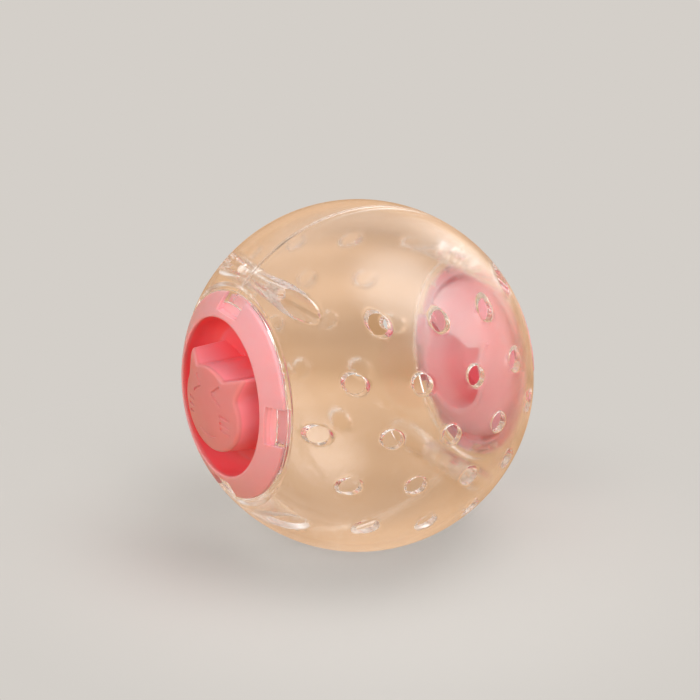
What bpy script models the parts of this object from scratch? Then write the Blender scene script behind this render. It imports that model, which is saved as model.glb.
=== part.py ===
"""Treat dispensing ball: two clear half shells held by snap pins, with a twist-lock door at each end.

The ball's centre is the origin. The doors sit on the X axis, the two halves meet at the plane Y = 0,
and +Z is up. Every length is in metres.
"""

import math

import bmesh
import bpy
from mathutils import Euler, Matrix, Vector

# Ball and its wall.
BALL_DIAMETER = 0.120
SHELL_WALL = 0.0024
CLEARANCE = 0.0003

# Lap joint along the seam: the front half's tongue slides under the rear half's lip.
TONGUE_LENGTH = 0.0020

# Treat holes: a hexagonal field in each half, moulded along the pull direction, which fills the room
# between the two door rims but for a web of wall beside each rim.
HOLE_DIAMETER = 0.0065
HOLE_RINGS = 2
HOLE_RIM_WEB = 0.0036

# Door ring and the stepped seat that it lies in. The flange is the ball's wall, thinned by the seat.
RING_OUTER_RADIUS = 0.0348
RING_WIDTH = 0.0071
RING_THICKNESS = 0.0012
RIM_LEDGE_WIDTH = 0.0012
RIM_BEVEL_WIDTH = 0.0013
RIM_LEDGE_DEPTH = 0.0009
FLANGE_REACH = 0.0035

# Twist lock: four lugs under the seat flange, with a moulding window in the ring above each of them.
LUG_COUNT = 4
LUG_WIDTH = 0.0120
LUG_THICKNESS = 0.0014
LUG_REACH = 0.0022
WINDOW_WIDTH = 0.0130
WINDOW_RIM_WIDTH = 0.0009
WINDOW_DEPTH = 0.0022
DOOR_TWIST = math.radians(45.0)
LUG_PLAY = 0.0008

# Door moulding: a bowl with a hollow cat-head grip standing in it, and a skirt that carries the lugs.
DOOR_WALL = 0.0018
SKIRT_WALL = 0.0012
DISH_DEPTH = 0.0125
DISH_SQUARENESS = 3.0
DISH_RIM_ROUND = 0.0010
GRIP_FACE_RECESS = 0.0010
GRIP_DRAFT = math.radians(2.0)
GRIP_EDGE_ROUND = 0.0010
FINGER_ROOM = 0.0097
EAR_TIP_ROUND = 0.0008
EAR_OUTER_BASE = math.radians(32.0)
EAR_INNER_BASE = math.radians(60.0)

# Proportions of the head, as shares of half its width.
HEAD_HALF_HEIGHT_SHARE = 0.795
HEAD_DROP_SHARE = 0.20
EAR_TIP_ACROSS_SHARE = 1.01
EAR_TIP_UP_SHARE = 0.69

# Tubes that join the halves, beside each door above and below it, and the pins snapped into them.
TUBE_INSET = 0.0060
TUBE_RIM_GAP = 0.0001
TUBE_SEAM_DIAMETER = 0.0076
TUBE_MOUTH_DIAMETER = 0.0098
TUBE_WALL = 0.0011
PIN_BORE_DIAMETER = 0.0050
PIN_GRIP_LENGTH = 0.0090
PIN_HEAD_LENGTH = 0.0030
PIN_HEAD_DIAMETER = 0.0056
PIN_TIP_DIAMETER = 0.0036
PIN_SLOT_WIDTH = 0.0010
PIN_SLOT_LENGTH = 0.0070

# Facets, and the distance under which points of one solid are the same point.
MERGE_DISTANCE = 0.000002
SHELL_STEPS = 48
SHELL_ARC_STEPS = 14
DOOR_STEPS = 32
DISH_ARC_STEPS = 5
HOLE_STEPS = 12
PIN_STEPS = 12
CORNER_STEPS = 3
FACE_RINGS = 3

# Sizes worked out from those above.
BALL_RADIUS = BALL_DIAMETER / 2
INNER_RADIUS = BALL_RADIUS - SHELL_WALL
OUTSIDE = 1.2 * BALL_RADIUS
SEAT_SPHERE = BALL_RADIUS - RING_THICKNESS - CLEARANCE
SEAT_RADIUS = RING_OUTER_RADIUS + CLEARANCE
RIM_RADIUS = SEAT_RADIUS + RIM_LEDGE_WIDTH + RIM_BEVEL_WIDTH
FLANGE_INNER_RADIUS = RING_OUTER_RADIUS - FLANGE_REACH
DISH_RIM_RADIUS = RING_OUTER_RADIUS - RING_WIDTH
HEAD_HALF_WIDTH = DISH_RIM_RADIUS - FINGER_ROOM
HEAD_HALF_HEIGHT = HEAD_HALF_HEIGHT_SHARE * HEAD_HALF_WIDTH
HEAD_CENTRE_DROP = HEAD_DROP_SHARE * HEAD_HALF_WIDTH
EAR_TIP_ACROSS = EAR_TIP_ACROSS_SHARE * HEAD_HALF_WIDTH
EAR_TIP_UP = EAR_TIP_UP_SHARE * HEAD_HALF_WIDTH
TUBE_CENTRE_RADIUS = BALL_RADIUS - TUBE_INSET
SKIRT_RADIUS = FLANGE_INNER_RADIUS - CLEARANCE
SKIRT_MIDDLE_RADIUS = SKIRT_RADIUS - SKIRT_WALL / 2
LUG_RADIUS = FLANGE_INNER_RADIUS + LUG_REACH
LUG_TOP_SPHERE = INNER_RADIUS - CLEARANCE
LUG_BOTTOM_SPHERE = LUG_TOP_SPHERE - LUG_THICKNESS


def height_on(sphere_radius, radius):
    """Distance along the door axis of the circle of this radius on a sphere about the ball's centre."""
    return math.sqrt(sphere_radius**2 - radius**2)


SKIRT_BOTTOM = height_on(LUG_BOTTOM_SPHERE, SKIRT_RADIUS) - CLEARANCE
LUG_HALF_ANGLE = math.asin(LUG_WIDTH / 2 / LUG_RADIUS)
LUG_PLAY_ANGLE = LUG_PLAY / LUG_RADIUS
LUG_ANGLES = [2 * math.pi * index / LUG_COUNT for index in range(LUG_COUNT)]
HOLE_FIELD_REACH = height_on(BALL_RADIUS, RIM_RADIUS + HOLE_RIM_WEB)
HOLE_PITCH = (HOLE_FIELD_REACH - HOLE_DIAMETER / 2) / HOLE_RINGS
TUBE_CLEAR_ANGLE = math.asin((TUBE_MOUTH_DIAMETER / 2 + TUBE_RIM_GAP) / TUBE_CENTRE_RADIUS)
TUBE_AXIS_ANGLE = math.asin(RIM_RADIUS / BALL_RADIUS) + TUBE_CLEAR_ANGLE

# Rotations that turn a piece's own +Z to the world's +X, to +Y, and to each door's outward side. A door
# is drawn unturned, in a frame of its own.
DOOR_FRAME = (0.0, 0.0, 0.0)
ALONG_X = (0.0, math.radians(90.0), 0.0)
ALONG_Y = (math.radians(-90.0), 0.0, 0.0)
LEFT_DOOR_TURN = (math.radians(90.0), 0.0, math.radians(-90.0))
RIGHT_DOOR_TURN = (math.radians(90.0), 0.0, math.radians(90.0))


def clear_scene():
    for obj in list(bpy.data.objects):
        bpy.data.objects.remove(obj, do_unlink=True)


def new_collection(name):
    collection = bpy.data.collections.new(name)
    bpy.context.scene.collection.children.link(collection)
    return collection


def plastic(name, colour, roughness, alpha=1.0):
    material = bpy.data.materials.new(name)
    material.use_nodes = True
    shader = material.node_tree.nodes["Principled BSDF"]
    shader.inputs["Base Color"].default_value = (*colour, 1.0)
    shader.inputs["Roughness"].default_value = roughness
    shader.inputs["Metallic"].default_value = 0.0
    shader.inputs["Alpha"].default_value = alpha
    return material


def helper(name, mesh, turn=(0.0, 0.0, 0.0)):
    """A cutter or building block, which is not itself a piece of the ball."""
    obj = bpy.data.objects.new(name, mesh)
    obj.rotation_euler = turn
    obj.hide_render = True
    obj.display_type = "WIRE"
    CUTTERS.objects.link(obj)
    return obj


def piece(name, mesh, material, turn=(0.0, 0.0, 0.0), place=(0.0, 0.0, 0.0)):
    """One separate moulding of the ball."""
    obj = bpy.data.objects.new(name, mesh)
    obj.rotation_euler = turn
    obj.location = place
    mesh.materials.clear()
    mesh.materials.append(material)
    mesh.shade_smooth()
    mesh.set_sharp_from_angle(angle=math.radians(35.0))
    PARTS.objects.link(obj)
    return obj


def mesh_from(bm, name):
    mesh = bpy.data.meshes.new(name)
    bm.to_mesh(mesh)
    bm.free()
    return mesh


def baked(obj):
    """The object's mesh with its modifiers applied, in the object's own frame."""
    bpy.context.view_layer.update()
    graph = bpy.context.evaluated_depsgraph_get()
    return bpy.data.meshes.new_from_object(obj.evaluated_get(graph))


def cut(obj, other, operation):
    modifier = obj.modifiers.new(operation.lower() + " " + other.name, "BOOLEAN")
    modifier.operation = operation
    modifier.solver = "EXACT"
    modifier.object = other
    weld = obj.modifiers.new("weld " + other.name, "WELD")
    weld.merge_threshold = MERGE_DISTANCE


def turned(name, profile, steps, closed, turn=(0.0, 0.0, 0.0)):
    """A solid turned about its own Z from (radius, height) points that run down its outer side."""
    bm = bmesh.new()
    verts = [bm.verts.new((radius, 0.0, height)) for radius, height in profile]
    for first, second in zip(verts, verts[1:]):
        bm.edges.new((first, second))
    if closed:
        bm.edges.new((verts[-1], verts[0]))
    obj = helper(name, mesh_from(bm, name), turn)
    screw = obj.modifiers.new("turn", "SCREW")
    screw.axis = "Z"
    screw.angle = 2 * math.pi
    screw.steps = steps
    screw.render_steps = steps
    screw.use_merge_vertices = True
    screw.merge_threshold = MERGE_DISTANCE
    return obj


def loft(rings):
    """A solid through rings of points that match one for one, capped at its first and last ring."""
    bm = bmesh.new()
    loops = []
    for ring in rings:
        verts = [bm.verts.new(point) for point in ring]
        loops.append([bm.edges.new(ends) for ends in zip(verts, verts[1:] + verts[:1])])
    for lower, upper in zip(loops, loops[1:]):
        bmesh.ops.bridge_loops(bm, edges=lower + upper)
    bmesh.ops.contextual_create(bm, geom=loops[0])
    bmesh.ops.contextual_create(bm, geom=loops[-1])
    bmesh.ops.recalc_face_normals(bm, faces=bm.faces)
    return bm


def swept(inner, outer, top_sphere, bottom_sphere, start, end):
    """A bar that follows the ball, swept about the door axis between two angles."""
    corners = ((inner, top_sphere), (outer, top_sphere), (outer, bottom_sphere), (inner, bottom_sphere))
    section = [(radius, height_on(sphere, radius)) for radius, sphere in corners]
    turns = [start + (end - start) * step / CORNER_STEPS for step in range(CORNER_STEPS + 1)]
    return loft([
        [(radius * math.cos(turn), radius * math.sin(turn), height) for radius, height in section]
        for turn in turns
    ])


def joined(name, meshes, turn=(0.0, 0.0, 0.0)):
    """One helper holding several solids that don't touch each other."""
    bm = bmesh.new()
    for mesh in meshes:
        bm.from_mesh(mesh)
    return helper(name, mesh_from(bm, name), turn)


def copies(name, mesh, places, turn=(0.0, 0.0, 0.0)):
    """One helper holding a copy of a solid at each place, turned the same way."""
    bm = bmesh.new()
    for place in places:
        first_new = len(bm.verts)
        bm.from_mesh(mesh)
        bm.verts.ensure_lookup_table()
        fresh = bm.verts[first_new:]
        bmesh.ops.transform(bm, matrix=Euler(turn).to_matrix().to_4x4(), verts=fresh)
        bmesh.ops.translate(bm, verts=fresh, vec=place)
    return helper(name, mesh_from(bm, name))


def arc(radius, start, end, steps):
    """(radius, height) points on a circle about the ball's centre, by angle from the door axis."""
    angles = [start + (end - start) * step / steps for step in range(steps + 1)]
    return [(radius * math.sin(angle), radius * math.cos(angle)) for angle in angles]


def ball(name, radius, steps):
    profile = arc(radius, 0.0, math.pi, SHELL_ARC_STEPS)
    return turned(name, profile, steps, closed=False, turn=ALONG_X)


def seat_profile():
    """The door seat from the flange's edge to the shell's outside: floor, wall, ledge and bevel."""
    ledge_sphere = BALL_RADIUS - RIM_LEDGE_DEPTH
    ledge_outer = SEAT_RADIUS + RIM_LEDGE_WIDTH
    return [
        (FLANGE_INNER_RADIUS, height_on(SEAT_SPHERE, FLANGE_INNER_RADIUS)),
        (SEAT_RADIUS, height_on(SEAT_SPHERE, SEAT_RADIUS)),
        (SEAT_RADIUS, height_on(ledge_sphere, SEAT_RADIUS)),
        (ledge_outer, height_on(ledge_sphere, ledge_outer)),
    ]


def shell_profile():
    """Closed section of the whole ball's wall, from the right-hand door seat to the left-hand one."""
    opening = math.asin(RIM_RADIUS / BALL_RADIUS)
    inner_opening = math.asin(FLANGE_INNER_RADIUS / INNER_RADIUS)
    outside = arc(BALL_RADIUS, opening, math.pi - opening, SHELL_ARC_STEPS)
    inside = arc(INNER_RADIUS, math.pi - inner_opening, inner_opening, SHELL_ARC_STEPS)
    seat = seat_profile()
    far_seat = [(radius, -height) for radius, height in reversed(seat)]
    return outside + far_seat + inside + seat


def tube_places():
    across = TUBE_CENTRE_RADIUS * math.cos(TUBE_AXIS_ANGLE)
    up = TUBE_CENTRE_RADIUS * math.sin(TUBE_AXIS_ANGLE)
    return {
        "upper_left": (-across, 0.0, up),
        "lower_left": (-across, 0.0, -up),
        "upper_right": (across, 0.0, up),
        "lower_right": (across, 0.0, -up),
    }


def hole_places():
    """Hexagonal field about the pole of each half: a centre hole and rings round it."""
    row_pitch = HOLE_PITCH * math.sqrt(3) / 2
    places = []
    for row in range(-HOLE_RINGS, HOLE_RINGS + 1):
        count = 2 * HOLE_RINGS + 1 - abs(row)
        for index in range(count):
            across = (index - (count - 1) / 2) * HOLE_PITCH
            places.append((across, 0.0, row * row_pitch))
    return places


def at_lugs(name, bm, door_turns):
    """Repeats a solid of the door's own frame at every lug, for each way that a door is turned."""
    meshes = []
    for door_turn in door_turns:
        for angle in LUG_ANGLES:
            copy = bm.copy()
            spin = Euler(door_turn).to_matrix().to_4x4() @ Matrix.Rotation(angle, 4, "Z")
            bmesh.ops.transform(copy, matrix=spin, verts=copy.verts)
            meshes.append(mesh_from(copy, name))
    bm.free()
    return joined(name, meshes)


def shell_tubes():
    """Four tubes along Y, widening from the seam to their mouths and stopping inside the ball's wall."""
    reach = BALL_RADIUS
    mouth_at = height_on(BALL_RADIUS, TUBE_CENTRE_RADIUS)
    growth = (TUBE_MOUTH_DIAMETER - TUBE_SEAM_DIAMETER) / 2 / mouth_at
    end_radius = TUBE_SEAM_DIAMETER / 2 + growth * reach
    profile = [
        (0.0, reach),
        (end_radius, reach),
        (TUBE_SEAM_DIAMETER / 2, 0.0),
        (end_radius, -reach),
        (0.0, -reach),
    ]
    one = turned("tube", profile, PIN_STEPS, closed=False)
    tubes = copies("tubes", baked(one), tube_places().values(), ALONG_Y)
    cut(tubes, ball("tube limit", BALL_RADIUS - SHELL_WALL / 2, SHELL_STEPS), "INTERSECT")
    return tubes


def tube_bores():
    """The pin's straight bore across the seam, and the wider mouth outside each of its shoulders."""
    mouth_at = height_on(BALL_RADIUS, TUBE_CENTRE_RADIUS)
    growth = (TUBE_MOUTH_DIAMETER - TUBE_SEAM_DIAMETER) / 2 / mouth_at
    shoulder = PIN_GRIP_LENGTH
    shoulder_radius = TUBE_SEAM_DIAMETER / 2 + growth * shoulder - TUBE_WALL
    end_radius = TUBE_SEAM_DIAMETER / 2 + growth * OUTSIDE - TUBE_WALL
    bore_radius = PIN_BORE_DIAMETER / 2
    half = [(0.0, OUTSIDE), (end_radius, OUTSIDE), (shoulder_radius, shoulder), (bore_radius, shoulder)]
    profile = half + [(radius, -height) for radius, height in reversed(half)]
    one = turned("bore", profile, PIN_STEPS, closed=False)
    return copies("bores", baked(one), tube_places().values(), ALONG_Y)


def treat_drills():
    bm = bmesh.new()
    bmesh.ops.create_cone(
        bm,
        cap_ends=True,
        segments=HOLE_STEPS,
        radius1=HOLE_DIAMETER / 2,
        radius2=HOLE_DIAMETER / 2,
        depth=2 * OUTSIDE,
    )
    return copies("treat drills", mesh_from(bm, "drill"), hole_places(), ALONG_Y)


def lug_gates():
    """Gaps in the seat flange, one twist away from each lug, through which the lugs leave the seat."""
    half = LUG_HALF_ANGLE + LUG_PLAY_ANGLE
    inner = FLANGE_INNER_RADIUS - CLEARANCE
    outer = LUG_RADIUS + CLEARANCE
    top, bottom = SEAT_SPHERE + CLEARANCE, INNER_RADIUS - CLEARANCE
    gate = swept(inner, outer, top, bottom, DOOR_TWIST - half, DOOR_TWIST + half)
    return at_lugs("lug gates", gate, (LEFT_DOOR_TURN, RIGHT_DOOR_TURN))


def twist_stops():
    """A rib under the flange between each gate and the next lug: it ends the twist both ways."""
    spare = CLEARANCE / LUG_RADIUS
    start = DOOR_TWIST + LUG_HALF_ANGLE + LUG_PLAY_ANGLE + spare
    end = 2 * math.pi / LUG_COUNT - LUG_HALF_ANGLE - spare
    mid_flange = (SEAT_SPHERE + INNER_RADIUS) / 2
    stop = swept(FLANGE_INNER_RADIUS + CLEARANCE, LUG_RADIUS, mid_flange, LUG_BOTTOM_SPHERE, start, end)
    return at_lugs("twist stops", stop, (LEFT_DOOR_TURN, RIGHT_DOOR_TURN))


def seam_step(name, face_at, tongue_radius, tongue_end):
    """A block on the front side of the seam, with the tongue standing on it, to part the halves."""
    profile = [
        (0.0, tongue_end),
        (tongue_radius, tongue_end),
        (tongue_radius, face_at),
        (OUTSIDE, face_at),
        (OUTSIDE, -OUTSIDE),
        (0.0, -OUTSIDE),
    ]
    return turned(name, profile, SHELL_STEPS, closed=False, turn=ALONG_Y)


def build_shells(material):
    whole = turned("ball wall", shell_profile(), SHELL_STEPS, closed=True, turn=ALONG_X)
    cut(whole, shell_tubes(), "UNION")
    cut(whole, twist_stops(), "UNION")
    cut(whole, tube_bores(), "DIFFERENCE")
    cut(whole, lug_gates(), "DIFFERENCE")
    cut(whole, treat_drills(), "DIFFERENCE")
    mid_wall = BALL_RADIUS - SHELL_WALL / 2
    gap = CLEARANCE / 2
    front_step = seam_step("front step", -gap, mid_wall - gap, TONGUE_LENGTH)
    rear_step = seam_step("rear step", gap, mid_wall + gap, TONGUE_LENGTH + CLEARANCE)
    wall = baked(whole)
    front = piece("front_half_shell", wall, material, ALONG_X)
    cut(front, front_step, "INTERSECT")
    rear = piece("rear_half_shell", wall.copy(), material, ALONG_X)
    cut(rear, rear_step, "DIFFERENCE")


def dish_arc(half_width, depth, top):
    """The bowl's rounded-square section, from its rim down to the door axis."""
    points = []
    for step in range(DISH_ARC_STEPS + 1):
        angle = math.pi / 2 * step / DISH_ARC_STEPS
        radius = half_width * max(math.cos(angle), 0.0) ** (2 / DISH_SQUARENESS)
        height = top - depth * math.sin(angle) ** (2 / DISH_SQUARENESS)
        points.append((radius, height))
    points[-1] = (0.0, top - depth)
    return points


def door_profile():
    """Bowl, ring and skirt: from the bowl's centre over the ring, and back along the underside."""
    bowl_radius = DISH_RIM_RADIUS - DISH_RIM_ROUND
    bowl_top = height_on(BALL_RADIUS, DISH_RIM_RADIUS) - DISH_RIM_ROUND
    bowl = dish_arc(bowl_radius, DISH_DEPTH, bowl_top)
    ring_angles = [math.asin(radius / BALL_RADIUS) for radius in (DISH_RIM_RADIUS, RING_OUTER_RADIUS)]
    ring_top = arc(BALL_RADIUS, *ring_angles, CORNER_STEPS)
    underside = BALL_RADIUS - RING_THICKNESS
    back_radius = bowl_radius + DOOR_WALL
    back_top = height_on(underside, back_radius)
    skirt_inner = SKIRT_RADIUS - SKIRT_WALL
    skirt = [
        (RING_OUTER_RADIUS, height_on(underside, RING_OUTER_RADIUS)),
        (SKIRT_RADIUS, height_on(underside, SKIRT_RADIUS)),
        (SKIRT_RADIUS, SKIRT_BOTTOM),
        (skirt_inner, SKIRT_BOTTOM),
        (skirt_inner, height_on(underside, skirt_inner)),
        (back_radius, back_top),
    ]
    back = dish_arc(back_radius, DISH_DEPTH + DOOR_WALL, bowl_top)
    return bowl[::-1] + ring_top + skirt + [point for point in back if point[1] < back_top]


def rounded_corner(before, corner, after, radius):
    """Points of an arc that rounds a corner of an outline."""
    to_before = (before - corner).normalized()
    to_after = (after - corner).normalized()
    half_angle = to_before.angle(to_after) / 2
    centre = corner + (to_before + to_after).normalized() * radius / math.sin(half_angle)
    start = corner + to_before * radius / math.tan(half_angle) - centre
    end = corner + to_after * radius / math.tan(half_angle) - centre
    first = math.atan2(start.y, start.x)
    sweep = math.remainder(math.atan2(end.y, end.x) - first, 2 * math.pi)
    angles = [first + sweep * step / CORNER_STEPS for step in range(CORNER_STEPS + 1)]
    return [centre + radius * Vector((math.cos(angle), math.sin(angle))) for angle in angles]


def head_oval(start, end, steps, inset):
    points = []
    for step in range(steps + 1):
        angle = start + (end - start) * step / steps
        across = (HEAD_HALF_WIDTH - inset) * math.cos(angle)
        up = (HEAD_HALF_HEIGHT - inset) * math.sin(angle) - HEAD_CENTRE_DROP
        points.append(Vector((across, up)))
    return points


def cat_outline(inset=0.0):
    """A plain cat head seen from outside: an oval with two pointed ears at its upper corners."""
    cheek = head_oval(-math.pi / 2, EAR_OUTER_BASE, 3 * CORNER_STEPS, inset)
    crown = head_oval(EAR_INNER_BASE, math.pi / 2, CORNER_STEPS, inset)
    tip = Vector((EAR_TIP_ACROSS, EAR_TIP_UP))
    inward = ((cheek[-1] - tip).normalized() + (crown[0] - tip).normalized()).normalized()
    half_angle = inward.angle(crown[0] - tip)
    tip += inward * inset / math.sin(half_angle)
    right_side = cheek + rounded_corner(cheek[-1], tip, crown[0], EAR_TIP_ROUND) + crown
    left_side = [Vector((-point.x, point.y)) for point in reversed(right_side[1:-1])]
    return [tuple(point) for point in right_side + left_side]


def dish_floor():
    return height_on(BALL_RADIUS, DISH_RIM_RADIUS) - DISH_RIM_ROUND - DISH_DEPTH


def on_sphere(outline, radius, drop):
    return [(across, up, height_on(radius, math.hypot(across, up)) - drop) for across, up in outline]


def cat_head(name, inset, face_radius, bottom, edge_round):
    """A cat head drawn along the door axis: drafted sides, a rounded edge and a face on a sphere."""
    spread = (face_radius - bottom) * math.tan(GRIP_DRAFT)
    rings = [[(across, up, bottom) for across, up in cat_outline(inset - spread)]]
    for step in range(CORNER_STEPS):
        angle = math.pi / 2 * step / CORNER_STEPS
        outline = cat_outline(inset + edge_round * (1 - math.cos(angle)))
        rings.append(on_sphere(outline, face_radius, edge_round * (1 - math.sin(angle))))
    face = cat_outline(inset + edge_round)
    for ring in range(FACE_RINGS):
        share = 1 - ring / FACE_RINGS
        outline = [(across * share, up * share - HEAD_CENTRE_DROP * (1 - share)) for across, up in face]
        rings.append(on_sphere(outline, face_radius, 0.0))
    return helper(name, mesh_from(loft(rings), name))


def grip_solid():
    bottom = dish_floor() - DOOR_WALL / 2
    return cat_head("grip", 0.0, BALL_RADIUS - GRIP_FACE_RECESS, bottom, GRIP_EDGE_ROUND)


def grip_hollow():
    """The hollow behind the face, open to the inside of the ball, a wall's thickness inside the grip."""
    bottom = dish_floor() - 2 * DOOR_WALL
    face_radius = BALL_RADIUS - GRIP_FACE_RECESS - DOOR_WALL
    return cat_head("grip hollow", DOOR_WALL, face_radius, bottom, GRIP_EDGE_ROUND / 2)


def radial_boxes(name, inner, width):
    """A tall box at each lug, lying along the radius from an inner radius out of the ball."""
    bm = bmesh.new()
    bmesh.ops.create_cube(bm, size=1.0)
    bmesh.ops.scale(bm, vec=(OUTSIDE - inner, width, OUTSIDE), verts=bm.verts)
    bmesh.ops.translate(bm, vec=((OUTSIDE + inner) / 2, 0.0, OUTSIDE / 2), verts=bm.verts)
    return at_lugs(name, bm, [DOOR_FRAME])


def window_floors():
    """A floor under each window, between the bowl and the skirt, hung from the ring beside the window."""
    bowl_wall = DISH_RIM_RADIUS - DISH_RIM_ROUND + DOOR_WALL / 2
    upper = BALL_RADIUS - RING_THICKNESS / 2
    lower = BALL_RADIUS - WINDOW_DEPTH - DOOR_WALL
    profile = [
        (bowl_wall, height_on(upper, bowl_wall)),
        (SKIRT_MIDDLE_RADIUS, height_on(upper, SKIRT_MIDDLE_RADIUS)),
        (SKIRT_MIDDLE_RADIUS, height_on(lower, SKIRT_MIDDLE_RADIUS)),
        (bowl_wall, height_on(lower, bowl_wall)),
    ]
    half_facet = (0.0, 0.0, math.pi / DOOR_STEPS)
    floors = turned("window floors", profile, DOOR_STEPS, closed=True, turn=half_facet)
    limits = radial_boxes("floor limits", bowl_wall / 2, WINDOW_WIDTH + 2 * DOOR_WALL)
    cut(floors, limits, "INTERSECT")
    return floors


def window_cutters():
    cutters = radial_boxes("windows", DISH_RIM_RADIUS + WINDOW_RIM_WIDTH, WINDOW_WIDTH)
    cut(cutters, ball("window floor sphere", BALL_RADIUS - WINDOW_DEPTH, DOOR_STEPS), "DIFFERENCE")
    return cutters


def lugs():
    lug = swept(
        SKIRT_MIDDLE_RADIUS, LUG_RADIUS, LUG_TOP_SPHERE, LUG_BOTTOM_SPHERE, -LUG_HALF_ANGLE, LUG_HALF_ANGLE
    )
    return at_lugs("lugs", lug, [DOOR_FRAME])


def build_doors(material):
    """One moulding for both doors, in a frame whose X is to the right, Y up and Z out of the ball."""
    door = turned("door", door_profile(), DOOR_STEPS, closed=False)
    cut(door, grip_solid(), "UNION")
    cut(door, window_floors(), "UNION")
    cut(door, lugs(), "UNION")
    cut(door, grip_hollow(), "DIFFERENCE")
    cut(door, window_cutters(), "DIFFERENCE")
    mesh = baked(door)
    piece("left_door", mesh, material, LEFT_DOOR_TURN)
    piece("right_door", mesh, material, RIGHT_DOOR_TURN)


def build_pins(material):
    """A split pin for each tube: its two barbed heads catch the shoulders at the ends of the bore."""
    shank = PIN_BORE_DIAMETER / 2 - CLEARANCE
    barb_at = PIN_GRIP_LENGTH + CLEARANCE
    tip_at = barb_at + PIN_HEAD_LENGTH
    half = [
        (0.0, tip_at),
        (PIN_TIP_DIAMETER / 2, tip_at),
        (PIN_HEAD_DIAMETER / 2, barb_at + PIN_HEAD_LENGTH / 3),
        (PIN_HEAD_DIAMETER / 2, barb_at),
        (shank, barb_at),
    ]
    profile = half + [(radius, -height) for radius, height in reversed(half)]
    pin = turned("pin", profile, PIN_STEPS, closed=False)
    slots = []
    for side in (-1, 1):
        bm = bmesh.new()
        bmesh.ops.create_cube(bm, size=1.0)
        bmesh.ops.scale(bm, vec=(PIN_HEAD_DIAMETER * 2, PIN_SLOT_WIDTH, 2 * PIN_SLOT_LENGTH), verts=bm.verts)
        bmesh.ops.translate(bm, vec=(0.0, 0.0, side * tip_at), verts=bm.verts)
        slots.append(mesh_from(bm, "slot"))
    cut(pin, joined("slots", slots), "DIFFERENCE")
    mesh = baked(pin)
    for corner, place in tube_places().items():
        piece("snap_pin_" + corner, mesh, material, ALONG_Y, place)


clear_scene()
PARTS = new_collection("treat dispensing ball")
CUTTERS = new_collection("cutters")
build_shells(plastic("clear shell", (0.93, 0.79, 0.64), 0.08, alpha=0.35))
build_doors(plastic("pink door", (0.80, 0.23, 0.27), 0.38))
build_pins(plastic("clear pin", (0.92, 0.84, 0.74), 0.12, alpha=0.5))
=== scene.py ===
# %% [markdown]
# # A clear treat ball with two pink doors
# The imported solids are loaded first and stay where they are. Every finer piece below is modelled in the
# same frame, in metres: the doors lie on the X axis, the halves meet at Y = 0, and +Z is up. A finer piece
# stands for the solid of the same name and rides on the same body, so the doors still twist.

import math

import bmesh
import bpy
from mathutils import Euler, Matrix, Vector
from mathutils.bvhtree import BVHTree


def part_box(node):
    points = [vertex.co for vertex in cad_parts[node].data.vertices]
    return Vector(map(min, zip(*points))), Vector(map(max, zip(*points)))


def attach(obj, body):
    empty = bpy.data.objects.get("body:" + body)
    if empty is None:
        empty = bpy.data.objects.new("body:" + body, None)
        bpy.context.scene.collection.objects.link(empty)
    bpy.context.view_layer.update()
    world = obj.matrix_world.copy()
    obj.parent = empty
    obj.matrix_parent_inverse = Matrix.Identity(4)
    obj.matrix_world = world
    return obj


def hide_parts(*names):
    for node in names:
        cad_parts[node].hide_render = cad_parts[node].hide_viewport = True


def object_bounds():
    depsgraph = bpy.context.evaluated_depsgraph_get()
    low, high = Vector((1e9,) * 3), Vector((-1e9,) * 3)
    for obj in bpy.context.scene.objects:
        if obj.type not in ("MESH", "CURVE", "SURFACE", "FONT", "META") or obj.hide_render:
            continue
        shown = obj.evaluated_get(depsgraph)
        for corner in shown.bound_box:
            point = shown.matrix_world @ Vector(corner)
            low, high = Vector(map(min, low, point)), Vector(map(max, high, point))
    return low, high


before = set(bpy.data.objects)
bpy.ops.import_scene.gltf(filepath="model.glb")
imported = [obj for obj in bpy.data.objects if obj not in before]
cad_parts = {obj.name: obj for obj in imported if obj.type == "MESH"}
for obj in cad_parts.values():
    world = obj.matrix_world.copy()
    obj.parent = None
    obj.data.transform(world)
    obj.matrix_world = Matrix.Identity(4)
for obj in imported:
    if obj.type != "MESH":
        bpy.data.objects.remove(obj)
cad_low, cad_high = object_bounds()
shell_low, shell_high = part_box("front_half_shell")
BALL_RADIUS = round((shell_high.z - shell_low.z) / 2, 4)
print("ball radius in mm:", BALL_RADIUS * 1000, "solids:", sorted(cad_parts))

# %% [markdown]
# ## Sizes that the clear shell and the pink doors share
# A door lies in a stepped seat of the shell, so both are worked out from the same few sizes. They repeat
# the solids' sizes, which keeps each finer piece inside its solid's place.

# %% Shared sizes
WALL = 0.0024
GAP = 0.0003
RING_OUTER = 0.0348
RING_THICKNESS = 0.0012
FLANGE_WIDTH = 0.0035
FLANGE_INNER = RING_OUTER - FLANGE_WIDTH
LEDGE_WIDTH = 0.0012
LEDGE_DEPTH = 0.0009
LEDGE_BEVEL = 0.0013
DOOR_WALL = 0.0018
SKIRT_WALL = 0.0012
SKIRT_OUTER = FLANGE_INNER - GAP
SKIRT_MIDDLE = SKIRT_OUTER - SKIRT_WALL / 2
LUG_COUNT = 4
LUG_WIDTH = 0.0120
LUG_THICKNESS = 0.0014
LUG_REACH = 0.0022
LUG_STEPS = 8
LUG_RADIUS = FLANGE_INNER + LUG_REACH
TWIST = math.radians(45.0)
INNER_RADIUS = BALL_RADIUS - WALL
SEAT_BALL = BALL_RADIUS - RING_THICKNESS - GAP
SEAT_RADIUS = RING_OUTER + GAP
RIM_RADIUS = SEAT_RADIUS + LEDGE_WIDTH + LEDGE_BEVEL
FAR = 1.2 * BALL_RADIUS


def height_on(ball_radius, radius):
    """How far along the door axis a circle of this radius lies on a ball about the centre."""
    return math.sqrt(ball_radius**2 - radius**2)


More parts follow.
